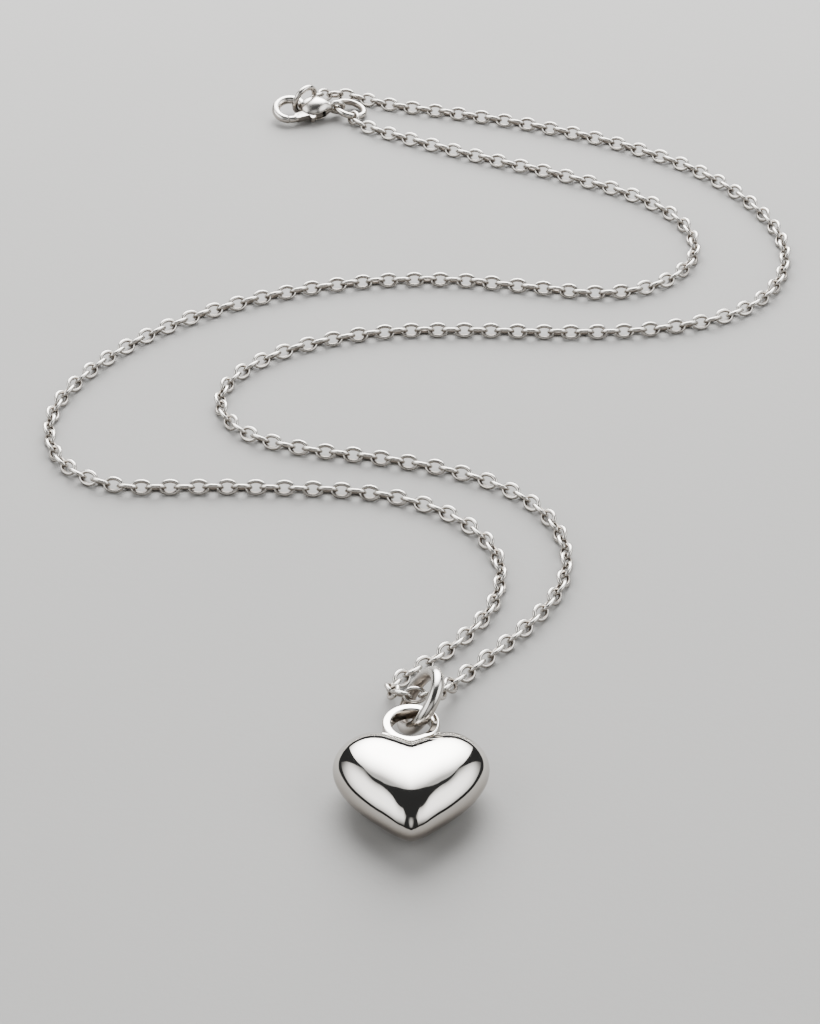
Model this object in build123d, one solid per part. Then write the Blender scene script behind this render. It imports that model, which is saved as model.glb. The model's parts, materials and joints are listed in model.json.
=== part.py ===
from build123d import *
import math
import os

# Heart pendant on its own closed necklace, laid flat in an S with the heart nearest the front.
# Millimetres, +Z up. The origin is on the surface it lies on, under the middle of the laid necklace.

os.makedirs("parts", exist_ok=True)

# The heart, measured from the line across its widest place
heart_width = 14.1
heart_lobe_rise = 4.38
heart_tip_drop = 8.58
heart_thickness = 5.8
heart_lift = 0.02

# The eye soldered into the cleft: a flat-topped band with rounded edges
eye_outer = 5.28
eye_hole = 3.66
eye_height = 1.3
eye_above_middle = 0.65
eye_bite = 1.27
eye_edge_round = 0.2
eye_from_chain = Vector(-0.6, -4.2)

# The bail: a round-wire ring through the eye, leaning over to the right
bail_mean_diameter = 5.66
bail_wire = 1.24
bail_lean = 34.0
bail_from_eye = Vector(0.85, 3.09, 0.58)

# The cable chain as a smooth run as thick as its links are when they lie turned about their line
link_width = 1.70
link_wire = 0.40
link_roll = 45.0
surface_gap = 0.005

# The lobster claw, along its own line from the middle of the hook back to the tail
clasp_centre = Vector(-17.24, 62.75, 1.31)
clasp_heading = 186.0
clasp_roll = 16.0
hook_mean_diameter = 3.40
hook_wire = 1.00
hook_root_angle = -160.0
belly_width = 3.30
belly_thickness = 2.5
belly_front = 1.53
belly_back = 5.15
tail_mean_diameter = 1.55
tail_wire = 0.62
tail_centre = 5.75

# The lever on its pin, in the slot of the claw's belly
pivot_back = 3.6
pivot_side = 0.6
pin_diameter = 0.5
pin_length = 1.9
pin_running_gap = 0.05
slot_floor_side = -0.3
lever_thickness = 0.84
lever_side_gap = 0.07
lever_root_round = 1.1
lever_root_gap = 0.15
lever_wire = 0.88
lever_arc_end = 122.0
lever_tip_angle = 80.0
lever_tip_gap = 0.08
parting_overrun = 20.0
thumb_back = 2.7
thumb_side = 1.75
thumb_round = 0.62
thumb_root_round = 0.9

# The rings that join the chain's ends to the clasp
clasp_ring_mean_diameter = 3.5
clasp_ring_wire = 0.74
clasp_ring_from_clasp = Vector(7.36, 0.89, -0.43)
clasp_ring_axis = Vector(0.25, 0.02, 0.97)
end_ring_mean_diameter = 3.3
end_ring_wire = 0.7
end_ring_from_clasp = Vector(1.78, 1.29, 0.69)
end_ring_axis = Vector(0.70, -0.69, -0.18)

# The thickness that a chain of turned links takes up, and the height of its line above the surface
chain_diameter = (link_width - link_wire) * math.sin(math.radians(link_roll)) + link_wire
chain_line = chain_diameter / 2 + surface_gap

# The share of the shorter run beside a corner that the corner's arc uses
arc_share = 0.45

# The chain's route from each end of the clasp to the middle of the bail, chosen along the laid necklace.
# A point with no height lies on the surface. The two ends stop just short of each other in the bail.
left_route = [
    (-9.5, 61.0), (-7.3, 59.2), (-2.0, 56.3), (6.8, 51.9), (15.8, 48.1), (24.2, 43.6), (29.5, 37.7),
    (30.6, 30.2), (26.4, 24.2), (19.6, 21.8), (10.8, 23.6), (1.0, 25.4), (-10.0, 24.5), (-20.6, 21.0),
    (-30.1, 15.3), (-37.0, 7.6), (-41.0, -1.2), (-39.4, -9.9), (-33.2, -14.5), (-24.4, -14.2),
    (-14.4, -14.4), (-5.2, -15.2), (2.4, -18.9), (6.8, -25.8), (6.0, -33.4), (2.4, -39.0),
    (-0.8, -42.3), (-2.7, -43.8), (-3.9, -45.3, 0.72), (-4.35, -46.9, 1.3), (-4.2, -48.3, 2.25),
    (-3.4, -49.7, 3.05), (-1.99, -49.95, 3.12),
]
right_route = [
    (-13.75, 65.7, 1.7), (-11.9, 67.4, 0.9), (-9.4, 67.3), (-5.6, 65.1), (1.8, 63.3), (12.8, 60.1),
    (23.4, 55.4), (32.5, 49.1), (38.7, 40.2), (40.9, 31.4), (38.8, 23.1), (33.2, 17.4), (24.4, 14.7),
    (14.6, 14.2), (4.6, 14.8), (-5.6, 14.7), (-14.8, 11.8), (-20.9, 7.1), (-23.4, 1.0), (-20.4, -4.8),
    (-14.2, -7.6), (-5.6, -9.1), (3.6, -11.8), (9.9, -16.3), (13.1, -22.7), (13.0, -29.6),
    (9.6, -35.9), (4.9, -41.5), (2.1, -44.7), (1.1, -46.5, 1.3), (0.6, -48.2, 2.3),
    (-0.2, -49.6, 3.0), (-1.61, -49.95, 3.12),
]

# The pendant lies where the two strands meet: the middle of its eye and of the bail that hangs in the eye,
# and the middle of the heart's widest line, below the eye that bites into the lobes
strands_meet = (Vector(*left_route[-1]) + Vector(*right_route[-1])) / 2
eye_centre = Vector(strands_meet.X, strands_meet.Y, heart_thickness / 2 + heart_lift) + eye_from_chain
bail_centre = eye_centre + bail_from_eye
heart_centre = eye_centre - Vector(0, heart_lobe_rise + eye_outer / 2 - eye_bite)

# Sections of the heart from its middle to its side, each an ellipse across the heart's thickness.
# Columns: how far out (share of half the width), top edge (share of the lobe's rise),
# lower edge (share of the tip's drop), thickness (share of the heart's thickness).
heart_sections = [
    (0.00, 0.70, 1.000, 1.000),
    (0.05, 0.735, 0.989, 0.999),
    (0.10, 0.775, 0.970, 0.996),
    (0.22, 0.875, 0.908, 0.985),
    (0.40, 0.985, 0.782, 0.948),
    (0.60, 0.955, 0.627, 0.868),
    (0.78, 0.775, 0.456, 0.712),
    (0.91, 0.530, 0.283, 0.478),
    (0.975, 0.290, 0.148, 0.260),
    (0.996, 0.110, 0.054, 0.097),
]

# Sections of the claw's belly from hook to tail, each an ellipse square to the claw's line.
# Columns: how far back (share of the belly's length), width (share), thickness (share).
belly_sections = [
    (0.00, 0.66, 0.56),
    (0.18, 0.92, 0.84),
    (0.45, 1.00, 1.00),
    (0.72, 0.78, 0.86),
    (0.90, 0.46, 0.58),
    (1.00, 0.30, 0.34),
]


def heart_body():
    """The puffed heart, lofted from side to side through its sections."""
    half = heart_width / 2
    rows = [(-out, top, low, thick) for out, top, low, thick in reversed(heart_sections[1:])] + heart_sections
    profiles = []
    for out, top, low, thick in rows:
        top_y = top * heart_lobe_rise
        low_y = -low * heart_tip_drop
        place = Plane(
            origin=heart_centre + Vector(out * half, (top_y + low_y) / 2),
            x_dir=(0, 1, 0),
            z_dir=(1, 0, 0),
        )
        profiles.append(place * Ellipse((top_y - low_y) / 2, thick * heart_thickness / 2).face())
    return loft(profiles)


def heart_eye():
    """The flat-topped band that stands in the cleft."""
    place = Pos(eye_centre) * Pos(0, 0, eye_above_middle - eye_height)
    band = extrude(Circle(eye_outer / 2) - Circle(eye_hole / 2), eye_height)
    band = fillet(band.edges(), eye_edge_round)
    return place * band


def round_ring(centre, axis, mean_diameter, wire):
    """A closed ring of round wire."""
    return Plane(origin=centre, z_dir=axis) * Torus(mean_diameter / 2, wire / 2)


def bail_axis():
    """The direction square to the bail: to the right, and down by its lean."""
    lean = math.radians(bail_lean)
    return Vector(math.cos(lean), 0, -math.sin(lean))


def chain_strand(route):
    """One strand of chain: straight runs joined by the largest arcs that they allow."""
    points = [Vector(*point) if len(point) == 3 else Vector(*point, chain_line) for point in route]
    radii = []
    for before, here, after in zip(points, points[1:], points[2:]):
        turn = math.radians((here - before).get_angle(after - here))
        shorter = min((here - before).length, (after - here).length)
        radii.append(arc_share * shorter / math.tan(turn / 2))
    path = FilletPolyline(*points, radius=radii)
    section = Plane(origin=points[0], z_dir=points[1] - points[0]) * Circle(chain_diameter / 2)
    strand = sweep(section, path=path)
    print("radii", [round(radius, 1) for radius in radii])
    print("length", round(path.length, 2), "volume over section times length",
          round(strand.volume / (path.length * math.pi * chain_diameter ** 2 / 4), 4))
    return strand


def clasp_place():
    """The claw's own frame: X towards the hook, Y to the lever's side, rolled so the far side is raised."""
    return Pos(clasp_centre) * Rot(0, 0, clasp_heading) * Rot(-clasp_roll, 0, 0)


def on_hook(angle):
    """A point on the hook's centre line."""
    turn = math.radians(angle)
    return Vector(math.cos(turn), math.sin(turn)) * (hook_mean_diameter / 2)


def hook_arc(wire, start, end):
    """A stretch of round wire along the hook's circle."""
    profile = Plane.XZ * Pos(hook_mean_diameter / 2, 0) * Circle(wire / 2)
    return Rot(0, 0, start) * revolve(profile, Axis.Z, end - start)


def parting_block(shift):
    """A block whose face is where hook and lever meet, along the pivot's radius; it lies shift beyond it."""
    tip = on_hook(lever_tip_angle)
    reach = tip - Vector(-pivot_back, pivot_side)
    side = 2 * hook_wire
    place = Plane(origin=tip, x_dir=reach, z_dir=(0, 0, 1))
    return place * Pos(side / 2 + shift, 0, 0) * Box(side, side, side)


def clasp_body():
    """The claw: hook, belly with its slot and pin, and the tail eye."""
    belly_length = belly_back - belly_front
    profiles = []
    for back, width, thick in belly_sections:
        place = Plane(origin=(-belly_front - back * belly_length, 0, 0), x_dir=(0, 1, 0), z_dir=(1, 0, 0))
        profiles.append(place * Ellipse(width * belly_width / 2, thick * belly_thickness / 2).face())
    belly = loft(profiles)
    hook = hook_arc(hook_wire, hook_root_angle, lever_tip_angle + parting_overrun)
    hook -= parting_block(lever_tip_gap / 2 - 2 * hook_wire)
    tail = Plane(origin=(-tail_centre, 0, 0), z_dir=(0, 1, 0)) * Torus(tail_mean_diameter / 2, tail_wire / 2)
    slot_back = pivot_back + lever_root_round / 2 + lever_root_gap
    slot = Pos(-slot_back / 2, belly_width / 2 + slot_floor_side, 0) * Box(
        slot_back, belly_width, lever_thickness + 2 * lever_side_gap)
    pin = Pos(-pivot_back, pivot_side, 0) * Cylinder(pin_diameter / 2, pin_length)
    return clasp_place() * ((belly - slot) + hook + tail + pin)


def clasp_lever():
    """The sprung lever, closed: a plate on the pin that runs into a round bar along the hook's circle."""
    root = Pos(-pivot_back, pivot_side) * Circle(lever_root_round / 2)
    neck = Pos(on_hook(lever_arc_end)) * Circle(lever_wire / 2)
    plate = make_hull(root.edges() + neck.edges())
    thumb_root = Pos(-thumb_back, (pivot_side + thumb_side) / 2) * Circle(thumb_root_round / 2)
    thumb = Pos(-thumb_back, thumb_side) * Circle(thumb_round / 2)
    nub = make_hull(thumb_root.edges() + thumb.edges())
    flat = extrude(plate + nub, lever_thickness / 2, both=True)
    bar = hook_arc(lever_wire, lever_tip_angle - parting_overrun, lever_arc_end)
    bar -= parting_block(-lever_tip_gap / 2)
    bore = Pos(-pivot_back, pivot_side, 0) * Cylinder(pin_diameter / 2 + pin_running_gap, belly_thickness)
    return clasp_place() * (flat + bar - bore)


nodes = {
    "heart_pendant": heart_body() + heart_eye(),
    "jump_ring": round_ring(bail_centre, bail_axis(), bail_mean_diameter, bail_wire),
    "chain_left": chain_strand(left_route),
    "chain_right": chain_strand(right_route),
    "clasp_body": clasp_body(),
    "clasp_lever": clasp_lever(),
    "clasp_ring": round_ring(clasp_centre + clasp_ring_from_clasp, clasp_ring_axis,
                             clasp_ring_mean_diameter, clasp_ring_wire),
    "end_ring": round_ring(clasp_centre + end_ring_from_clasp, end_ring_axis,
                           end_ring_mean_diameter, end_ring_wire),
}

for name, solid in nodes.items():
    box = solid.bounding_box()
    print(name, "volume", round(solid.volume, 3), "valid", solid.is_valid, "from", box.min, "to", box.max)
    export_step(solid, "parts/" + name + ".step")

pivot = clasp_place() * Pos(-pivot_back, pivot_side, 0)
print("lever pivot", pivot.position, "axis", Plane(pivot).z_dir)
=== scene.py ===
"""Heart pendant necklace in polished silver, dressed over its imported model.

The heart, its eye, the rings, the clasp and every link of the chain are made here in mesh code, in the model's
own frame and in metres.
"""

import json
import math
import random

import bmesh
import bpy
from mathutils import Matrix, Vector


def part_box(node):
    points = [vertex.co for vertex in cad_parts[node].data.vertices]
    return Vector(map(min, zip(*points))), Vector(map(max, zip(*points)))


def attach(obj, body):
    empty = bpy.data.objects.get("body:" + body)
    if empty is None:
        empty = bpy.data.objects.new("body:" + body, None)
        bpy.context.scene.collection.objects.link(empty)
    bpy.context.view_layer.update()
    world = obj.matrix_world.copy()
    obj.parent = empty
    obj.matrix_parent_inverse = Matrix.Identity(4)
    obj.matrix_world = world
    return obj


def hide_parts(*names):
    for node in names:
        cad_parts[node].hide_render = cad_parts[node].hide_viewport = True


bl_info = {
    "name": "Heart pendant necklace",
    "version": (1, 0, 0),
    "blender": (4, 5, 0),
    "location": "3D View > Sidebar > Necklace",
    "description": "Builds a silver heart pendant on its cable chain and the studio it lies in",
    "category": "Object",
}

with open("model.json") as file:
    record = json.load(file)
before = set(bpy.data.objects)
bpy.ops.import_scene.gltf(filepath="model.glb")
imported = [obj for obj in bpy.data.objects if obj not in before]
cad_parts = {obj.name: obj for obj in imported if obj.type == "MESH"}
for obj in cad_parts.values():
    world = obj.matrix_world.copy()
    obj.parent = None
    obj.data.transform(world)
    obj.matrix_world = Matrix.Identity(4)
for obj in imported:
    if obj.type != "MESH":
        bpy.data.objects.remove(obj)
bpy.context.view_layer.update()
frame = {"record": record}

MM = 0.001

# Points of a shell closer than this, in metres, are one point
SAME_PLACE = 1e-7

# The name of the points' share that tells the insides of rings from the rest
INSIDE = "inside"


def middle_of(node):
    """The middle of a node's box."""
    low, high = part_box(node)
    return (Vector(low) + Vector(high)) / 2


# The middles of the rings, and the axes of the two at the clasp
BAIL_MIDDLE = middle_of("jump_ring")
CLASP_RING_MIDDLE = middle_of("clasp_ring")
CLASP_RING_AXIS = Vector((0.25, 0.02, 0.97))
END_RING_MIDDLE = middle_of("end_ring")
END_RING_AXIS = Vector((0.70, -0.69, -0.18))

# From the middle of the eye to the bail's, and from the middle of the heart's widest line to the eye's
EYE_TO_BAIL = Vector((0.85, 3.09, 0.58)) * MM
HEART_TO_EYE = Vector((0, 5.75, 0)) * MM
EYE_MIDDLE = BAIL_MIDDLE - EYE_TO_BAIL
HEART_MIDDLE = EYE_MIDDLE - HEART_TO_EYE

# The claw's own frame: the middle of its hook, and X towards the hook's end, Y to the lever's side, Z up
HOOK_MOUNT = next(mount for mount in frame["record"]["mounts"] if mount["name"] == "clasp_hook")
CLASP_UP = Vector(HOOK_MOUNT["axis"]).normalized()
CLASP_HEADING = math.radians(186)
CLASP_AHEAD = Vector((math.cos(CLASP_HEADING), math.sin(CLASP_HEADING), 0))
CLASP_PLACE = Matrix.Translation(HOOK_MOUNT["pos_m"]) @ Matrix(
    (CLASP_AHEAD, CLASP_UP.cross(CLASP_AHEAD), CLASP_UP)).transposed().to_4x4()

# The chain's line in metres, from where its first link bears on the ring at the clasp's tail to the middle of
# the bail, and from the ring in the claw to the same place. A point with no height lies on the surface.
LEFT_ROUTE = [
    (-0.00969, 0.06229, 0.00086), (-0.0095, 0.0610, 0.00068), (-0.0073, 0.0592), (-0.0020, 0.0563),
    (0.0068, 0.0519), (0.0158, 0.0481), (0.0242, 0.0436), (0.0295, 0.0377), (0.0306, 0.0302),
    (0.0264, 0.0242), (0.0196, 0.0218), (0.0108, 0.0236), (0.0010, 0.0254), (-0.0100, 0.0245),
    (-0.0206, 0.0210), (-0.0301, 0.0153), (-0.0370, 0.0076), (-0.0410, -0.0012), (-0.0394, -0.0099),
    (-0.0332, -0.0145), (-0.0244, -0.0142), (-0.0144, -0.0144), (-0.0052, -0.0152), (0.0024, -0.0189),
    (0.0068, -0.0258), (0.0060, -0.0334), (0.0024, -0.0390), (-0.0008, -0.0423), (-0.0027, -0.0438),
    (-0.0039, -0.0453, 0.00072), (-0.00435, -0.0469, 0.0013), (-0.0042, -0.0483, 0.00225),
    (-0.0034, -0.0497, 0.00305), (-0.0018, -0.04995, 0.00312),
]
RIGHT_ROUTE = [
    (-0.01458, 0.06495, 0.00175), (-0.0136, 0.0659, 0.0016), (-0.0119, 0.0674, 0.0009), (-0.0094, 0.0673),
    (-0.0056, 0.0651), (0.0018, 0.0633), (0.0128, 0.0601), (0.0234, 0.0554), (0.0325, 0.0491),
    (0.0387, 0.0402), (0.0409, 0.0314), (0.0388, 0.0231), (0.0332, 0.0174), (0.0244, 0.0147),
    (0.0146, 0.0142), (0.0046, 0.0148), (-0.0056, 0.0147), (-0.0148, 0.0118), (-0.0209, 0.0071),
    (-0.0234, 0.0010), (-0.0204, -0.0048), (-0.0142, -0.0076), (-0.0056, -0.0091), (0.0036, -0.0118),
    (0.0099, -0.0163), (0.0131, -0.0227), (0.0130, -0.0296), (0.0096, -0.0359), (0.0049, -0.0415),
    (0.0021, -0.0447), (0.0011, -0.0465, 0.0013), (0.0006, -0.0482, 0.0023), (-0.0002, -0.0496, 0.0030),
    (-0.0018, -0.04995, 0.00312),
]

# The heart's form from its middle to its side: how far out (share of half the width), top edge (share of the
# lobe's rise), lower edge (share of the tip's drop), thickness (share of the heart's thickness)
HEART_FORM = [
    (0.00, 0.70, 1.000, 1.000),
    (0.05, 0.735, 0.989, 0.999),
    (0.10, 0.775, 0.970, 0.996),
    (0.22, 0.875, 0.908, 0.985),
    (0.40, 0.985, 0.782, 0.948),
    (0.60, 0.955, 0.627, 0.868),
    (0.78, 0.775, 0.456, 0.712),
    (0.91, 0.530, 0.283, 0.478),
    (0.975, 0.290, 0.148, 0.260),
    (0.996, 0.110, 0.054, 0.097),
    (1.00, 0.000, 0.000, 0.000),
]

# The claw's belly from the hook to the tail: how far back (share of its length), width and thickness (shares)
BELLY_FORM = [
    (-0.06, 0.34, 0.28),
    (0.00, 0.66, 0.56),
    (0.18, 0.92, 0.84),
    (0.45, 1.00, 1.00),
    (0.72, 0.78, 0.86),
    (0.90, 0.46, 0.58),
    (1.00, 0.30, 0.34),
]

# The hook's bar: where on its circle it starts, in degrees, and its thickness there and at its tip (shares)
HOOK_START = -160
HOOK_TAPER = (1.12, 0.96)

# How far, in degrees, both bars run on past the place where they are cut to meet, and the lever's into its plate
CUT_ALLOWANCE = 20
PLATE_OVERLAP = 6

# The seed of the links' uneven lean
LINK_SEED = 11

# Darkening: how far a point faces into its ring where it is fully darkened by painted shade, how much rougher the
# silver is there, the upward parts of the normal between which a surface turns into an underside, and how strongly
# an underside is darkened by painted shade that stands for a dark reflection
FULLY_INSIDE = 0.7
UNBUFFED_ROUGHNESS = 0.12
UNDERSIDE_FROM, UNDERSIDE_TO = 0.70, -0.10
UNDERSIDE_PAINTED_SHADE = 0.80

# A noise texture's values, nearly all of them
NOISE_LOW, NOISE_HIGH = 0.3, 0.7

# The paper's faint clouds, its tooth and the tooth's depth, in millimetres
PAPER_CLOUD = 60.0
PAPER_TOOTH = 0.9
PAPER_TOOTH_DEPTH = 0.05

# A light's glow: how far from its brightest place it starts to dim and is at its dimmest (shares of its size), and
# how bright it is there
GLOW_FROM, GLOW_TO = 0.12, 0.68
GLOW_LEAST = 0.05

# Each light: its place, the turns about X and Y in degrees that face it to the heart, its width and height, the
# setting of its power, and how far up it is brightest (share of its height)
LIGHTS = (
    ("back_light", (-0.0024, 0.411, 0.381), (-45, 0), (0.72, 0.73), "back_power", 0.60),
    ("left_light", (-0.4524, -0.085, 0.378), (0, -90), (0.594, 0.800), "side_power", 0.5),
    ("right_light", (0.4476, -0.085, 0.378), (0, 90), (0.594, 0.800), "side_power", 0.5),
    ("front_light", (-0.0024, -0.530, 0.330), (60, 0), (0.620, 0.440), "front_power", 0.5),
)

# The room about the lights is a little cool
ROOM_COLOUR = (0.95, 0.97, 1.0, 1)

# The camera's place, and how many degrees it looks down
CAMERA_PLACE = (-0.0025, -0.2598, 0.1825)
LOOKING_DOWN = 37


def linear(code):
    """An sRGB hex colour as linear red, green and blue."""
    shares = [int(code[i:i + 2], 16) / 255 for i in (1, 3, 5)]
    return tuple(c / 12.92 if c <= 0.04045 else ((c + 0.055) / 1.055) ** 2.4 for c in shares)


def per_metre(size_mm):
    """A texture's scale for a pattern that repeats every size_mm."""
    return 1000 / size_mm


def add_node(tree, kind, inputs=None, **settings):
    """Adds a node. inputs gives a socket a value, or an output to link from."""
    made = tree.nodes.new(kind)
    for name, value in settings.items():
        setattr(made, name, value)
    for socket, value in (inputs or {}).items():
        if isinstance(value, bpy.types.NodeSocket):
            tree.links.new(value, made.inputs[socket])
        else:
            made.inputs[socket].default_value = value
    return made


def new_material(name):
    """An empty node material, and its output."""
    material = bpy.data.materials.new(name)
    material.use_nodes = True
    material.node_tree.nodes.clear()
    output = add_node(material.node_tree, "ShaderNodeOutputMaterial")
    return material, material.node_tree, output


def silver(name, settings, tone_mm, gloss, mark_mm, mark_depth):
    """A silver surface: metal whose tone drifts from bright to shaded over tone_mm, whose roughness drifts between
    the two values of gloss, and which carries soft marks, mark_mm wide and mark_depth millimetres deep. Inside the
    rings of wire, where no buff reaches, it is duller and its colour is darkened as painted shade; its undersides
    are darkened nearly as much, a painted shade that stands for a dark reflection."""
    material, tree, output = new_material(name)
    where = add_node(tree, "ShaderNodeTexCoord")
    inside = add_node(tree, "ShaderNodeAttribute", attribute_name=INSIDE)
    # How far a point faces into its ring: the silver is duller there and its colour darkened by painted shade
    unbuffed_and_shaded = add_node(tree, "ShaderNodeMapRange", {
        "Value": inside.outputs["Fac"], "From Min": 0.0, "From Max": FULLY_INSIDE},
        interpolation_type="SMOOTHSTEP")
    # Painted shade on the undersides, standing for a dark reflection: darker as the normal turns downwards
    facing = add_node(tree, "ShaderNodeNewGeometry")
    upward = add_node(tree, "ShaderNodeSeparateXYZ", {"Vector": facing.outputs["Normal"]})
    painted_underside_shade = add_node(tree, "ShaderNodeMapRange", {
        "Value": upward.outputs["Z"], "From Min": UNDERSIDE_FROM, "From Max": UNDERSIDE_TO,
        "To Max": UNDERSIDE_PAINTED_SHADE}, interpolation_type="SMOOTHSTEP")
    # The stronger of the two painted shades sets how far the colour is darkened
    painted_shade_share = add_node(tree, "ShaderNodeMath", {0: unbuffed_and_shaded.outputs["Result"], 1: painted_underside_shade.outputs["Result"]},
                      operation="MAXIMUM")
    tone = add_node(tree, "ShaderNodeTexNoise", {
        "Vector": where.outputs["Object"], "Scale": per_metre(tone_mm), "Detail": 3.0, "Roughness": 0.55})
    colour = add_node(tree, "ShaderNodeMix", {
        "Factor": tone.outputs["Fac"], "A": (*settings.bright, 1), "B": (*settings.shade, 1)}, data_type="RGBA")
    skin = add_node(tree, "ShaderNodeMix", {
        "Factor": painted_shade_share.outputs["Value"], "A": colour.outputs["Result"], "B": (*settings.toned, 1)},
        data_type="RGBA")
    haze = add_node(tree, "ShaderNodeMapRange", {
        "Value": tone.outputs["Fac"], "From Min": NOISE_LOW, "From Max": NOISE_HIGH, "To Min": gloss[0],
        "To Max": gloss[1]})
    dulled = add_node(tree, "ShaderNodeMath", {
        0: unbuffed_and_shaded.outputs["Result"], 1: UNBUFFED_ROUGHNESS, 2: haze.outputs["Result"]}, operation="MULTIPLY_ADD")
    marks = add_node(tree, "ShaderNodeTexNoise", {
        "Vector": where.outputs["Object"], "Scale": per_metre(mark_mm), "Detail": 1.5, "Roughness": 0.5})
    bump = add_node(tree, "ShaderNodeBump", {
        "Height": marks.outputs["Fac"], "Strength": 1.0, "Distance": mark_depth * MM})
    metal = add_node(tree, "ShaderNodeBsdfPrincipled", {
        "Base Color": skin.outputs["Result"], "Metallic": 1.0, "Roughness": dulled.outputs["Value"],
        "Normal": bump.outputs["Normal"]})
    tree.links.new(metal.outputs["BSDF"], output.inputs["Surface"])
    return material


def mirror_polished_silver(settings):
    """Cast sterling, buffed on a wheel: a mirror with the faint swell and hairlines that buffing leaves."""
    return silver("mirror_polished_silver", settings, tone_mm=5.0, gloss=(0.04, 0.07), mark_mm=1.8,
                  mark_depth=0.0010)


def drawn_silver_wire(settings):
    """Round sterling wire, drawn, bent and then polished: bright, with a softer edge to what it reflects than
    the heart has."""
    return silver("drawn_silver_wire", settings, tone_mm=3.0, gloss=(0.16, 0.22), mark_mm=0.6, mark_depth=0.0006)


def barrelled_silver_chain(settings):
    """Soldered chain links brightened in a barrel of steel shot: a soft gleam with small knocks all over."""
    return silver("barrelled_silver_chain", settings, tone_mm=1.2, gloss=(0.20, 0.28), mark_mm=0.3,
                  mark_depth=0.0008)


def tumbled_cast_silver(settings):
    """A small casting tumbled rather than buffed: gleaming, with the soft ripple of the cast skin."""
    return silver("tumbled_cast_silver", settings, tone_mm=1.5, gloss=(0.20, 0.28), mark_mm=0.7,
                  mark_depth=0.0012)


def studio_paper(settings):
    """Background paper: matte and pale, with the short tooth of its pulp."""
    material, tree, output = new_material("studio_paper")
    where = add_node(tree, "ShaderNodeTexCoord")
    cloud = add_node(tree, "ShaderNodeTexNoise", {
        "Vector": where.outputs["Object"], "Scale": per_metre(PAPER_CLOUD), "Detail": 2.0})
    colour = add_node(tree, "ShaderNodeMix", {
        "Factor": cloud.outputs["Fac"], "A": (*settings.paper, 1), "B": (*settings.paper_shade, 1)},
        data_type="RGBA")
    tooth = add_node(tree, "ShaderNodeTexNoise", {
        "Vector": where.outputs["Object"], "Scale": per_metre(PAPER_TOOTH), "Detail": 5.0, "Roughness": 0.65})
    bump = add_node(tree, "ShaderNodeBump", {
        "Height": tooth.outputs["Fac"], "Strength": 0.5, "Distance": PAPER_TOOTH_DEPTH * MM})
    paper = add_node(tree, "ShaderNodeBsdfPrincipled", {
        "Base Color": colour.outputs["Result"], "Roughness": 0.85, "Normal": bump.outputs["Normal"]})
    tree.links.new(paper.outputs["BSDF"], output.inputs["Surface"])
    return material


def soften_edges(light, brightest):
    """Gives an area light the glow of a lamp behind a sheet of diffusion: brightest in the middle of its width and
    at the share brightest of its height, and dimmer towards its edges."""
    light.use_nodes = True
    tree = light.node_tree
    place = add_node(tree, "ShaderNodeNewGeometry")
    reach = add_node(tree, "ShaderNodeVectorMath", {0: place.outputs["Parametric"], 1: (0.5, brightest, 0)},
                     operation="DISTANCE")
    glow = add_node(tree, "ShaderNodeMapRange", {
        "Value": reach.outputs["Value"], "From Min": GLOW_FROM, "From Max": GLOW_TO, "To Min": 1.0,
        "To Max": GLOW_LEAST}, interpolation_type="SMOOTHSTEP")
    tree.links.new(glow.outputs["Result"], tree.nodes["Emission"].inputs["Strength"])


def material_once(make, settings):
    """The material that make gives, made at its first use."""
    return bpy.data.materials.get(make.__name__) or make(settings)


def add_piece(name, vertices, faces, material, smooth=True):
    """A mesh object in the scene, with that material."""
    mesh = bpy.data.meshes.new(name)
    mesh.from_pydata(vertices, [], faces)
    mesh.validate()
    mesh.update()
    piece = bpy.data.objects.new(name, mesh)
    bpy.context.scene.collection.objects.link(piece)
    mesh.materials.append(material)
    if smooth:
        mesh.shade_smooth()
    else:
        mesh.shade_flat()
    return piece


def mark_inside(piece, shares):
    """Notes how far each of the piece's points faces into its ring, from 0 to 1."""
    piece.data.attributes.new(INSIDE, "FLOAT", "POINT").data.foreach_set("value", shares)


def wire_inside(section, items):
    """How far the points of a round wire face into its ring, for that many turns of its section."""
    return [max(-math.cos(2 * math.pi * j / section), 0) for j in range(section)] * items


def belong(piece, node, body="necklace"):
    """The piece rides on that body and stands for the node's solid, which is hidden."""
    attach(piece, body)
    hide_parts(node)


def grid_faces(rows, columns, close_rows=False):
    """Faces of a grid whose columns close on themselves, and whose rows may."""
    faces = []
    for row in range(rows if close_rows else rows - 1):
        after = (row + 1) % rows
        for column in range(columns):
            beside = (column + 1) % columns
            faces.append((row * columns + column, after * columns + column,
                          after * columns + beside, row * columns + beside))
    return faces


def turned_frame(axis):
    """Two directions square to the axis and to each other."""
    axis = axis.normalized()
    first = axis.orthogonal().normalized()
    return first, axis.cross(first)


def smooth_through(xs, ys, x):
    """A curve with even slopes through the points (xs, ys), read at x."""
    slopes = []
    for i in range(len(xs)):
        before, after = max(i - 1, 0), min(i + 1, len(xs) - 1)
        slopes.append((ys[after] - ys[before]) / (xs[after] - xs[before]))
    i = max(k for k in range(len(xs) - 1) if xs[k] <= x)
    step = xs[i + 1] - xs[i]
    t = (x - xs[i]) / step
    return ((2 * t ** 3 - 3 * t ** 2 + 1) * ys[i] + (t ** 3 - 2 * t ** 2 + t) * step * slopes[i]
            + (3 * t ** 2 - 2 * t ** 3) * ys[i + 1] + (t ** 3 - t ** 2) * step * slopes[i + 1])


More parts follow.
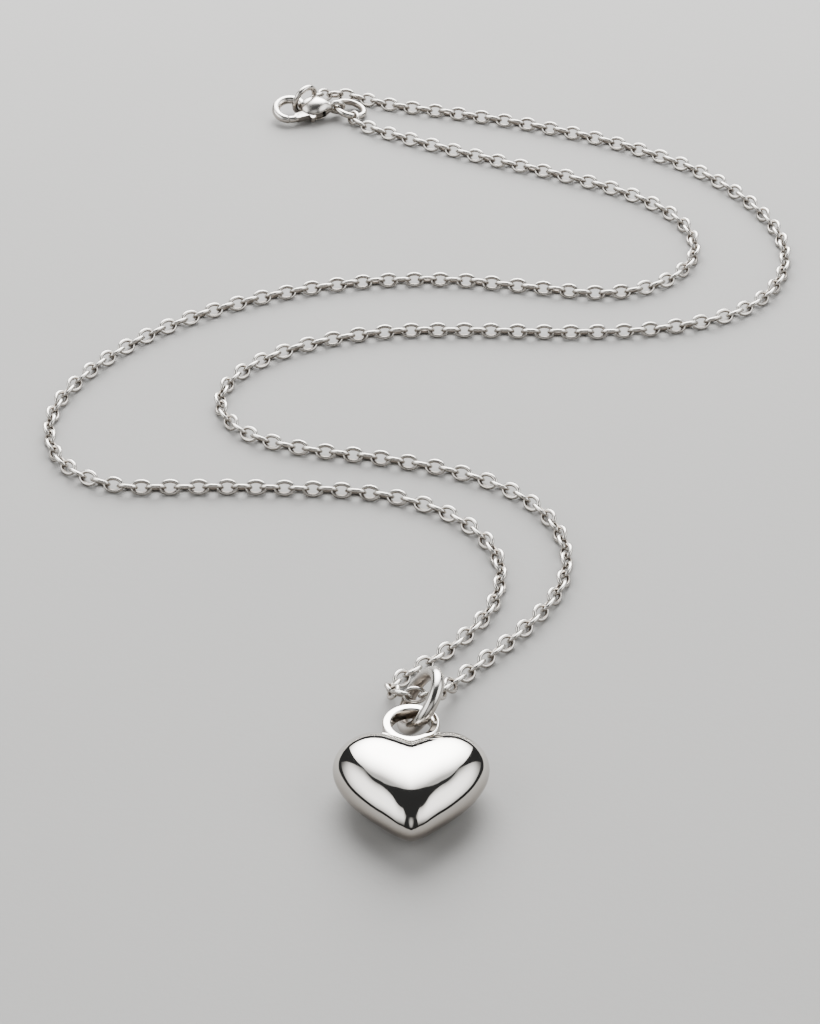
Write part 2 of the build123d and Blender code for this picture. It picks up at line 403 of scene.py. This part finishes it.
def heart_shell(settings, slices=240, around=160):
    """The puffed heart: elliptical slices from side to side, set closer towards the sides, where the form
    turns fastest. The form's table is read by angle, so that each side closes smoothly."""
    angles = [math.asin(row[0]) for row in HEART_FORM]
    both = [-a for a in reversed(angles[1:])] + angles
    columns = []
    for column in (1, 2, 3):
        half = [row[column] for row in HEART_FORM]
        columns.append(half[:0:-1] + half)
    half_width = settings.width / 2
    vertices = []
    for i in range(slices + 1):
        angle = -math.pi / 2 + math.pi * i / slices
        top, low, thick = (max(smooth_through(both, column, angle), 0) for column in columns)
        top_y, low_y = top * settings.lobe_rise, -low * settings.tip_drop
        for j in range(around):
            turn = 2 * math.pi * j / around
            vertices.append(HEART_MIDDLE + Vector((
                math.sin(angle) * half_width,
                (top_y + low_y) / 2 + math.cos(turn) * (top_y - low_y) / 2,
                math.sin(turn) * thick * settings.thickness / 2)))
    return vertices, grid_faces(slices + 1, around)


def lathe_band(middle, outer, hole, height, round_edge, lift, around=128, corner=6):
    """A band turned about the vertical, with rounded edges, whose top is lift above its middle's height."""
    profile = []
    for quarter in range(4):
        radius, side = (outer / 2, 1) if quarter in (0, 3) else (hole / 2, -1)
        level = 1 if quarter in (0, 1) else -1
        centre = (radius - side * round_edge, level * (height / 2 - round_edge))
        for k in range(corner + 1):
            turn = math.radians(90 * quarter + 90 * k / corner)
            profile.append((centre[0] + math.cos(turn) * round_edge, centre[1] + math.sin(turn) * round_edge))
    vertices = []
    for i in range(around):
        turn = 2 * math.pi * i / around
        for radius, level in profile:
            vertices.append(middle + Vector((
                math.cos(turn) * radius, math.sin(turn) * radius, level + lift - height / 2)))
    return vertices, grid_faces(around, len(profile), close_rows=True)


def ring_of_wire(middle, axis, mean_diameter, wire, around, section):
    """A closed ring of round wire about an axis."""
    first, second = turned_frame(axis)
    up = axis.normalized()
    vertices = []
    for i in range(around):
        turn = 2 * math.pi * i / around
        out = first * math.cos(turn) + second * math.sin(turn)
        for j in range(section):
            lean = 2 * math.pi * j / section
            vertices.append(middle + out * (mean_diameter / 2 + math.cos(lean) * wire / 2)
                            + up * math.sin(lean) * wire / 2)
    return vertices, grid_faces(around, section, close_rows=True)


def add_ring(name, node, middle, axis, mean_diameter, wire, material, around=144, section=36):
    """A closed ring of round wire as a piece."""
    piece = add_piece(name, *ring_of_wire(middle, axis, mean_diameter, wire, around, section), material)
    mark_inside(piece, wire_inside(section, around))
    belong(piece, node)


def arc_of_wire(radius, start, end, wires, around=96, section=40):
    """A stretch of round wire along a circle about Z, from start to end in degrees, with flat ends. Its thickness
    goes evenly from the first value of wires to the second."""
    vertices = []
    for i in range(around + 1):
        share = i / around
        turn = math.radians(start + (end - start) * share)
        wire = wires[0] + (wires[1] - wires[0]) * share
        out = Vector((math.cos(turn), math.sin(turn), 0))
        for j in range(section):
            lean = 2 * math.pi * j / section
            vertices.append(out * (radius + math.cos(lean) * wire / 2) + Vector((0, 0, math.sin(lean) * wire / 2)))
    return vertices, capped(grid_faces(around + 1, section), around + 1, section)


def capped(faces, rows, columns):
    """The faces, with one more over each end of the grid."""
    last = (rows - 1) * columns
    return faces + [tuple(range(columns)), tuple(last + j for j in reversed(range(columns)))]


def belly_shell(settings, slices=60, around=64):
    """The claw's belly: elliptical slices from the hook back to the tail."""
    columns = list(zip(*BELLY_FORM))
    first, last = columns[0][0], columns[0][-1]
    front, back = settings.belly_front / MM, settings.belly_back / MM
    vertices = []
    for i in range(slices + 1):
        share = first + (last - first) * i / slices
        wide = smooth_through(columns[0], columns[1], share) * settings.belly_width / MM / 2
        thick = smooth_through(columns[0], columns[2], share) * settings.belly_thickness / MM / 2
        for j in range(around):
            turn = 2 * math.pi * j / around
            vertices.append(Vector((-front - share * (back - front), math.cos(turn) * wide,
                                    math.sin(turn) * thick)))
    return vertices, capped(grid_faces(slices + 1, around), slices + 1, around)


def block(middle, size, turn=0.0):
    """A box about its middle, turned about Z."""
    corners = [Vector((x * size[0] / 2, y * size[1] / 2, z * size[2] / 2))
               for z in (-1, 1) for x, y in ((-1, -1), (1, -1), (1, 1), (-1, 1))]
    faces = [(3, 2, 1, 0), (4, 5, 6, 7), (0, 1, 5, 4), (1, 2, 6, 5), (2, 3, 7, 6), (3, 0, 4, 7)]
    spin = Matrix.Rotation(turn, 3, "Z")
    return [spin @ corner + Vector(middle) for corner in corners], faces


def plate_between(first, second, thickness, around=48):
    """A flat plate about Z that wraps two round ends, each given as x, y and radius."""
    hull = bmesh.new()
    for x, y, radius in (first, second):
        for j in range(around):
            turn = 2 * math.pi * j / around
            for level in (-thickness / 2, thickness / 2):
                hull.verts.new((x + math.cos(turn) * radius, y + math.sin(turn) * radius, level))
    result = bmesh.ops.convex_hull(hull, input=hull.verts)
    bmesh.ops.delete(hull, geom=result["geom_interior"], context="VERTS")
    hull.verts.index_update()
    vertices = [vertex.co.copy() for vertex in hull.verts]
    faces = [tuple(vertex.index for vertex in face.verts) for face in hull.faces]
    hull.free()
    return vertices, faces


def joined(*shells):
    """Several shells as one list of vertices and one of faces."""
    vertices, faces = [], []
    for more_vertices, more_faces in shells:
        start = len(vertices)
        vertices.extend(more_vertices)
        faces.extend(tuple(k + start for k in face) for face in more_faces)
    return vertices, faces


def helper_object(shell):
    """An object of the shell's form that serves only to shape another."""
    helper = bpy.data.objects.new("helper", bpy.data.meshes.new("helper"))
    helper.data.from_pydata(shell[0], [], shell[1])
    bpy.context.scene.collection.objects.link(helper)
    return helper


def discard(helper):
    """Takes a helper object and its mesh away."""
    mesh = helper.data
    bpy.data.objects.remove(helper)
    bpy.data.meshes.remove(mesh)


def shaped(shell, steps):
    """The shell after the modifiers in steps, each its kind and its settings."""
    piece = helper_object(shell)
    for kind, settings in steps:
        step = piece.modifiers.new(kind, kind)
        for name, value in settings.items():
            setattr(step, name, value)
    result = bpy.data.meshes.new_from_object(piece.evaluated_get(bpy.context.evaluated_depsgraph_get()))
    vertices = [vertex.co.copy() for vertex in result.vertices]
    faces = [tuple(face.vertices) for face in result.polygons]
    discard(piece)
    bpy.data.meshes.remove(result)
    return vertices, faces


def without(shell, cutter):
    """The shell with the cutter's shape taken out of it."""
    tool = helper_object(cutter)
    result = shaped(shell, [("BOOLEAN", {"operation": "DIFFERENCE", "solver": "EXACT", "object": tool})])
    discard(tool)
    return result


def cast_together(*shells, grain=0.045, softening=6):
    """Shells that overlap as one casting, with the small rounding at their joins that a mould gives."""
    return shaped(joined(*shells), [
        ("REMESH", {"mode": "VOXEL", "voxel_size": grain, "adaptivity": 0.0}),
        ("SMOOTH", {"factor": 0.5, "iterations": softening})])


def on_clasp(shell):
    """The shell's millimetres in the claw's own frame as metres in the model's frame."""
    return [CLASP_PLACE @ (vertex * MM) for vertex in shell[0]], shell[1]


def parting_block(settings, shift):
    """A block that cuts a bar off where hook and lever meet, square to the pivot's radius. It starts shift
    millimetres beyond that place and is two hook bars long."""
    tip = Vector((math.cos(settings.lever_tip), math.sin(settings.lever_tip), 0)) * settings.hook_diameter / MM / 2
    reach = tip - Vector((-settings.pivot_back, settings.pivot_side, 0)) / MM
    side = 2 * settings.hook_wire / MM
    return block(tip + reach.normalized() * (side / 2 + shift), (side, side, side), math.atan2(reach.y, reach.x))


def claw_shells(settings):
    """The claw with its hook, belly, slot and tail eye, and its pin."""
    radius, wire = settings.hook_diameter / MM / 2, settings.hook_wire / MM
    gap = settings.tip_gap / MM
    tip = math.degrees(settings.lever_tip)
    pivot = Vector((-settings.pivot_back, settings.pivot_side, 0)) / MM
    slot_back = -pivot.x + settings.lever_root / MM / 2 + settings.root_gap / MM
    slot = block((-slot_back / 2, settings.slot_floor / MM + settings.belly_width / MM / 2, 0),
                 (slot_back, settings.belly_width / MM, settings.lever_thickness / MM + 2 * settings.side_gap / MM))
    hook = without(arc_of_wire(radius, HOOK_START, tip + CUT_ALLOWANCE, [share * wire for share in HOOK_TAPER]),
                   parting_block(settings, gap / 2 - 2 * wire))
    eye = ring_of_wire(Vector((-settings.tail_back / MM, 0, 0)), Vector((0, 1, 0)), settings.tail_diameter / MM,
                       settings.tail_wire / MM, around=72, section=24)
    casting = cast_together(without(belly_shell(settings), slot), hook, eye)
    pin = plate_between((pivot.x, pivot.y, settings.pin / MM / 2), (pivot.x, pivot.y, settings.pin / MM / 2),
                        settings.pin_length / MM)
    return joined(casting, pin)


def lever_shell(settings):
    """The lever: a plate on the pin with a spur for the thumb, which runs into a round bar along the hook."""
    radius, wire = settings.hook_diameter / MM / 2, settings.lever_wire / MM
    tip, end = math.degrees(settings.lever_tip), math.degrees(settings.lever_end)
    pivot = Vector((-settings.pivot_back, settings.pivot_side, 0)) / MM
    thick = settings.lever_thickness / MM
    neck = Vector((math.cos(settings.lever_end), math.sin(settings.lever_end), 0)) * radius
    thumb = Vector((-settings.thumb_back, settings.thumb_side, 0)) / MM
    plate = plate_between((pivot.x, pivot.y, settings.lever_root / MM / 2), (neck.x, neck.y, wire / 2), thick)
    spur = plate_between((thumb.x, (pivot.y + thumb.y) / 2, settings.thumb_root / MM / 2),
                         (thumb.x, thumb.y, settings.thumb / MM / 2), thick)
    bar = without(arc_of_wire(radius, tip - CUT_ALLOWANCE, end + PLATE_OVERLAP, (wire, wire), around=48),
                  parting_block(settings, -settings.tip_gap / MM / 2))
    lever = cast_together(plate, spur, bar, grain=0.035)
    bore = (pivot.x, pivot.y, settings.pin / MM / 2 + settings.pin_gap / MM)
    return without(lever, plate_between(bore, bore, 2 * thick))


def read_line(name, route, level):
    """The points of a smooth curve led by the route, whose points with no height of their own lie at that level."""
    curve = bpy.data.curves.new(name, "CURVE")
    curve.dimensions = "3D"
    curve.resolution_u = 32
    spline = curve.splines.new("NURBS")
    spline.points.add(len(route) - 1)
    for point, place in zip(spline.points, route):
        point.co = (*place, 1) if len(place) == 3 else (*place, level, 1)
    spline.order_u = 3
    spline.use_endpoint_u = True
    guide = bpy.data.objects.new(name, curve)
    mesh = bpy.data.meshes.new_from_object(guide)
    line = [vertex.co.copy() for vertex in mesh.vertices]
    bpy.data.objects.remove(guide)
    bpy.data.curves.remove(curve)
    bpy.data.meshes.remove(mesh)
    return line


def line_length(line):
    """The length of a line of points."""
    return sum((after - before).length for before, after in zip(line, line[1:]))


def even_steps(line, steps):
    """The line's places at even steps along it, ends included."""
    lengths = [0.0]
    for before, after in zip(line, line[1:]):
        lengths.append(lengths[-1] + (after - before).length)
    places = []
    k = 0
    for i in range(steps + 1):
        reach = lengths[-1] * i / steps
        while k < len(line) - 2 and lengths[k + 1] < reach:
            k += 1
        run = lengths[k + 1] - lengths[k]
        places.append(line[k].lerp(line[k + 1], (reach - lengths[k]) / run if run else 0))
    return places


def link_loop(pitch, settings, around=40, section=12):
    """One oval link about its middle: long along X and flat in XY, as a list of rings of points."""
    wire = settings.wire
    half_length = (pitch + settings.slack + wire) / 2
    half_width = (settings.link_width - wire) / 2
    rings = []
    for i in range(around):
        turn = 2 * math.pi * i / around
        centre = Vector((math.cos(turn) * half_length, math.sin(turn) * half_width, 0))
        out = Vector((math.cos(turn) * half_width, math.sin(turn) * half_length, 0)).normalized()
        rings.append([
            centre + out * math.cos(lean) * wire / 2 + Vector((0, 0, math.sin(lean) * wire / 2))
            for lean in (2 * math.pi * j / section for j in range(section))])
    return rings


def chain_links(settings):
    """Every link of the chain along both routes, as two lists of vertices, one for each strand, the faces of one
    link, and how far its points face into it. Each link reaches over one step of the line, so that each pair is
    hooked together, and they are rolled to either side of upright by turns, as a cable chain lies."""
    thickness = (settings.link_width - settings.wire) * math.sin(settings.roll) + settings.wire
    left = read_line("left_line", LEFT_ROUTE, thickness / 2 + settings.rest_gap)
    right = read_line("right_line", RIGHT_ROUTE, thickness / 2 + settings.rest_gap)
    line = left + list(reversed(right))[1:]
    length = line_length(line)
    count = round(length / settings.pitch)
    places = even_steps(line, count)
    left_share = line_length(left) / length
    loop = link_loop(length / count, settings)
    chance = random.Random(LINK_SEED)
    strands = ([], [])
    for i in range(count):
        along = (places[i + 1] - places[i]).normalized()
        side = along.cross(Vector((0, 0, 1))).normalized()
        up = side.cross(along)
        roll = settings.roll if i % 2 else -settings.roll
        roll += math.radians(chance.uniform(-settings.unevenness, settings.unevenness))
        across = side * math.cos(roll) + up * math.sin(roll)
        turn = Matrix((along, across, along.cross(across))).transposed()
        middle = (places[i] + places[i + 1]) / 2
        strand = strands[0] if (i + 0.5) / count < left_share else strands[1]
        strand.extend(middle + turn @ point for ring in loop for point in ring)
    return strands, grid_faces(len(loop), len(loop[0]), close_rows=True), wire_inside(len(loop[0]), len(loop))


def repeat_faces(faces, per_item, items):
    """The faces of one item, once for each item."""
    return [tuple(k + per_item * i for k in face) for i in range(items) for face in faces]


def length_setting(name, description, millimetres, lowest=0.0, precision=5):
    """A length that a user can change. It and the lowest it can be are given in millimetres."""
    return bpy.props.FloatProperty(name=name, description=description, default=millimetres * MM,
                                   min=lowest * MM, unit="LENGTH", precision=precision)


def angle_setting(name, description, degrees):
    """An angle that a user can change."""
    return bpy.props.FloatProperty(name=name, description=description, default=math.radians(degrees),
                                   subtype="ANGLE")


def power_setting(name, description, watts):
    """A light's power that a user can change."""
    return bpy.props.FloatProperty(name=name, description=description, default=watts, min=0, unit="POWER")


def colour_setting(name, description, code):
    """A colour that a user can change."""
    return bpy.props.FloatVectorProperty(name=name, description=description, default=linear(code),
                                         subtype="COLOR", size=3, min=0, max=1)


class SilverSettings(bpy.types.PropertyGroup):
    """The colours of the silver."""
    bright: colour_setting("Bright silver", "Colour of the rhodium-flashed silver", "#DDDAD5")
    shade: colour_setting("Shaded silver", "Colour where the silver has begun to tone", "#CBC7C0")
    # The colour painted as shade inside the rings and on the undersides
    toned: colour_setting("Toned silver", "Colour inside the rings, where no buff reaches", "#918981")


class HeartSettings(bpy.types.PropertyGroup):
    """Sizes of the heart and its eye."""
    width: length_setting("Width", "Side to side", 14.1)
    lobe_rise: length_setting("Lobe rise", "From the widest line up to the lobes", 4.38)
    tip_drop: length_setting("Tip drop", "From the widest line down to the tip", 8.58)
    thickness: length_setting("Thickness", "Through the middle", 5.8)
    eye_outer: length_setting("Eye", "Across the outside of the eye", 5.28)
    eye_hole: length_setting("Eye hole", "Across the eye's hole", 3.66)
    eye_height: length_setting("Eye height", "Height of the eye's band", 1.3)
    eye_lift: length_setting("Eye lift", "The eye's top above the heart's middle", 0.65)
    eye_edge: length_setting("Eye edge", "Rounding of the eye's edges", 0.2)


class RingSettings(bpy.types.PropertyGroup):
    """Sizes of the bail and of the small rings at the clasp."""
    bail_diameter: length_setting("Bail", "Across the middle of the bail's wire", 5.66)
    bail_wire: length_setting("Bail wire", "Thickness of the bail's wire", 1.24)
    bail_lean: angle_setting("Bail lean", "How far the bail leans over", 34)
    tail_ring: length_setting("Tail ring", "Across the middle of the wire of the ring in the clasp's tail", 3.5)
    tail_ring_wire: length_setting("Tail ring wire", "Thickness of its wire", 0.74)
    claw_ring: length_setting("Claw ring", "Across the middle of the wire of the ring that the claw holds", 3.3)
    claw_ring_wire: length_setting("Claw ring wire", "Thickness of its wire", 0.7)


class ClaspSettings(bpy.types.PropertyGroup):
    """Sizes of the lobster claw and its lever."""
    hook_diameter: length_setting("Hook", "Across the middle of the hook's bar", 3.40)
    hook_wire: length_setting("Hook bar", "Thickness of the hook's bar", 1.00)
    belly_width: length_setting("Belly width", "Across the belly", 3.30)
    belly_thickness: length_setting("Belly thickness", "Through the belly", 2.5)
    belly_front: length_setting("Belly front", "From the hook's middle back to the belly", 1.53)
    belly_back: length_setting("Belly back", "From the hook's middle back to the belly's end", 5.15)
    tail_diameter: length_setting("Tail eye", "Across the middle of the tail eye's bar", 1.55)
    tail_wire: length_setting("Tail bar", "Thickness of the tail eye's bar", 0.62)
    tail_back: length_setting("Tail back", "From the hook's middle back to the tail eye's", 5.75)
    pivot_back: length_setting("Pivot back", "From the hook's middle back to the pin", 3.6)
    pivot_side: length_setting("Pivot side", "From the claw's line out to the pin", 0.6)
    pin: length_setting("Pin", "Thickness of the pin", 0.5)
    pin_length: length_setting("Pin length", "Length of the pin", 1.9)
    pin_gap: length_setting("Pin gap", "Room about the pin", 0.05)
    slot_floor: length_setting("Slot floor", "From the claw's line out to the slot's floor", -0.3, lowest=-5.0)
    lever_thickness: length_setting("Lever", "Thickness of the lever's plate", 0.84)
    side_gap: length_setting("Lever gap", "Room on each side of the lever", 0.07)
    lever_root: length_setting("Lever root", "Across the lever's round root", 1.1)
    root_gap: length_setting("Root gap", "Room behind the lever's root", 0.15)
    lever_wire: length_setting("Lever bar", "Thickness of the lever's bar", 0.88)
    lever_end: angle_setting("Lever bend", "Where on the hook's circle the plate ends", 122)
    lever_tip: angle_setting("Lever tip", "Where on the hook's circle hook and lever meet", 80)
    tip_gap: length_setting("Tip gap", "Room between hook and lever", 0.08)
    thumb_back: length_setting("Thumb back", "From the hook's middle back to the thumb's spur", 2.7)
    thumb_side: length_setting("Thumb side", "From the claw's line out to the spur's end", 1.75)
    thumb: length_setting("Thumb", "Across the spur's round end", 0.62)
    thumb_root: length_setting("Thumb root", "Across the spur's root", 0.9)


class ChainSettings(bpy.types.PropertyGroup):
    """Sizes and lie of the chain's links."""
    pitch: length_setting("Pitch", "From one link's middle to the next", 1.4634, precision=6)
    wire: length_setting("Wire", "Thickness of a link's wire", 0.40)
    link_width: length_setting("Link width", "Across the outside of a link", 1.70)
    slack: length_setting("Slack", "Play between two links", 0.03, precision=6)
    rest_gap: length_setting("Rest gap", "Room between the links and the surface", 0.005, precision=6)
    roll: angle_setting("Roll", "How far each link leans from lying flat", 45)
    unevenness: bpy.props.FloatProperty(
        name="Unevenness", description="Degrees by which the links' lean varies", default=4.0, min=0, max=15)


class StageSettings(bpy.types.PropertyGroup):
    """The studio."""
    floor_size: length_setting("Floor", "Side of the floor", 2400)
    back_power: power_setting("Back light", "Power of the light behind and above", 30.0)
    side_power: power_setting("Side lights", "Power of each light at the sides", 6.0)
    front_power: power_setting("Front light", "Power of the light in front", 0.8)
    paper: colour_setting("Paper", "Colour of the paper", "#9C9B99")
    paper_shade: colour_setting("Paper shade", "Colour of the paper's faint clouds", "#969593")
    surround: bpy.props.FloatProperty(
        name="Surround", description="Brightness of the room about the lights", default=0.045, min=0)
    focal_length: bpy.props.FloatProperty(
        name="Lens", description="Focal length of the camera, in millimetres", default=105.0)


class NECKLACE_OT_heart(bpy.types.Operator):
    """Builds the puffed heart and the eye soldered to it"""
    bl_idname = "necklace.heart"
    bl_label = "Heart and eye"

    def execute(self, context):
        settings = context.scene.necklace_heart
        polished = material_once(mirror_polished_silver, context.scene.necklace_silver)
        heart = add_piece("heart", *heart_shell(settings), polished)
        mesh = heart.data
        shell = bmesh.new()
        shell.from_mesh(mesh)
        bmesh.ops.remove_doubles(shell, verts=shell.verts, dist=SAME_PLACE)
        bmesh.ops.recalc_face_normals(shell, faces=shell.faces)
        shell.to_mesh(mesh)
        shell.free()
        mesh.shade_smooth()
        belong(heart, "heart_pendant")
        band = lathe_band(EYE_MIDDLE, settings.eye_outer, settings.eye_hole, settings.eye_height,
                          settings.eye_edge, settings.eye_lift)
        eye = add_piece("heart_eye", *band, polished)
        belong(eye, "heart_pendant")
        return {"FINISHED"}


class NECKLACE_OT_bail(bpy.types.Operator):
    """Builds the round-wire bail between the heart's eye and the chain"""
    bl_idname = "necklace.bail"
    bl_label = "Bail"

    def execute(self, context):
        settings = context.scene.necklace_rings
        wire = material_once(drawn_silver_wire, context.scene.necklace_silver)
        axis = Vector((math.cos(settings.bail_lean), 0, -math.sin(settings.bail_lean)))
        add_ring("bail", "jump_ring", BAIL_MIDDLE, axis, settings.bail_diameter, settings.bail_wire, wire)
        return {"FINISHED"}


class NECKLACE_OT_chain(bpy.types.Operator):
    """Builds every link of the two strands"""
    bl_idname = "necklace.chain"
    bl_label = "Chain"

    def execute(self, context):
        bright = material_once(barrelled_silver_chain, context.scene.necklace_silver)
        strands, faces, inside = chain_links(context.scene.necklace_chain)
        for name, node, vertices in (("links_left", "chain_left", strands[0]),
                                     ("links_right", "chain_right", strands[1])):
            count = len(vertices) // len(inside)
            strand = add_piece(name, vertices, repeat_faces(faces, len(inside), count), bright)
            mark_inside(strand, inside * count)
            belong(strand, node)
        return {"FINISHED"}


class NECKLACE_OT_clasp(bpy.types.Operator):
    """Builds the lobster claw, its lever and the two rings that it joins"""
    bl_idname = "necklace.clasp"
    bl_label = "Clasp"

    def execute(self, context):
        rings = context.scene.necklace_rings
        settings = context.scene.necklace_clasp
        wire = material_once(drawn_silver_wire, context.scene.necklace_silver)
        cast = material_once(tumbled_cast_silver, context.scene.necklace_silver)
        add_ring("tail_ring", "clasp_ring", CLASP_RING_MIDDLE, CLASP_RING_AXIS, rings.tail_ring,
                 rings.tail_ring_wire, wire, around=96, section=24)
        add_ring("claw_ring", "end_ring", END_RING_MIDDLE, END_RING_AXIS, rings.claw_ring,
                 rings.claw_ring_wire, wire, around=96, section=24)
        belong(add_piece("claw", *on_clasp(claw_shells(settings)), cast), "clasp_body")
        lever = add_piece("lever", *on_clasp(lever_shell(settings)), cast)
        belong(lever, "clasp_lever", body="lever")
        return {"FINISHED"}


class NECKLACE_OT_stage(bpy.types.Operator):
    """Lays the floor and sets the lights and the camera"""
    bl_idname = "necklace.stage"
    bl_label = "Studio"

    def execute(self, context):
        settings = context.scene.necklace_stage
        half = settings.floor_size / 2
        corners = [(-half, -half, 0), (half, -half, 0), (half, half, 0), (-half, half, 0)]
        floor = add_piece("floor", corners, [(0, 1, 2, 3)], studio_paper(settings), smooth=False)

        for name, place, turns, (width, height), power, brightest in LIGHTS:
            data = bpy.data.lights.new(name, "AREA")
            data.shape = "RECTANGLE"
            data.size = width
            data.size_y = height
            data.energy = getattr(settings, power)
            light = bpy.data.objects.new(name, data)
            light.location = place
            light.rotation_euler = (*map(math.radians, turns), 0)
            light.visible_camera = False
            soften_edges(data, brightest)
            context.scene.collection.objects.link(light)

        room = bpy.data.worlds.new("room")
        room.use_nodes = True
        background = room.node_tree.nodes["Background"]
        background.inputs["Color"].default_value = ROOM_COLOUR
        background.inputs["Strength"].default_value = settings.surround
        context.scene.world = room

        lens = bpy.data.cameras.new("camera")
        lens.lens = settings.focal_length
        lens.sensor_width = 36
        lens.clip_start = 0.01
        camera = bpy.data.objects.new("camera", lens)
        camera.location = CAMERA_PLACE
        camera.rotation_euler = (math.radians(90 - LOOKING_DOWN), 0, 0)
        context.scene.collection.objects.link(camera)
        context.scene.camera = camera
        return {"FINISHED"}


OPERATORS = (NECKLACE_OT_heart, NECKLACE_OT_bail, NECKLACE_OT_chain, NECKLACE_OT_clasp, NECKLACE_OT_stage)

SETTINGS = {
    "necklace_silver": SilverSettings,
    "necklace_heart": HeartSettings,
    "necklace_rings": RingSettings,
    "necklace_clasp": ClaspSettings,
    "necklace_chain": ChainSettings,
    "necklace_stage": StageSettings,
}


class NECKLACE_PT_panel(bpy.types.Panel):
    """Lists the necklace's sizes and the buttons that build it"""
    bl_idname = "NECKLACE_PT_panel"
    bl_label = "Heart pendant necklace"
    bl_space_type = "VIEW_3D"
    bl_region_type = "UI"
    bl_category = "Necklace"

    def draw(self, context):
        for name, group in SETTINGS.items():
            box = self.layout.box()
            for setting in group.__annotations__:
                box.prop(getattr(context.scene, name), setting)
        for operator in OPERATORS:
            self.layout.operator(operator.bl_idname)


def register():
    for group in SETTINGS.values():
        bpy.utils.register_class(group)
    for name, group in SETTINGS.items():
        setattr(bpy.types.Scene, name, bpy.props.PointerProperty(type=group))
    for operator in OPERATORS:
        bpy.utils.register_class(operator)
    bpy.utils.register_class(NECKLACE_PT_panel)


def unregister():
    bpy.utils.unregister_class(NECKLACE_PT_panel)
    for operator in reversed(OPERATORS):
        bpy.utils.unregister_class(operator)
    for name in SETTINGS:
        delattr(bpy.types.Scene, name)
    for group in SETTINGS.values():
        bpy.utils.unregister_class(group)


def main():
    register()
    bpy.ops.necklace.heart()
    bpy.ops.necklace.bail()
    bpy.ops.necklace.chain()
    bpy.ops.necklace.clasp()
    bpy.ops.necklace.stage()


if __name__ == "__main__":
    main()
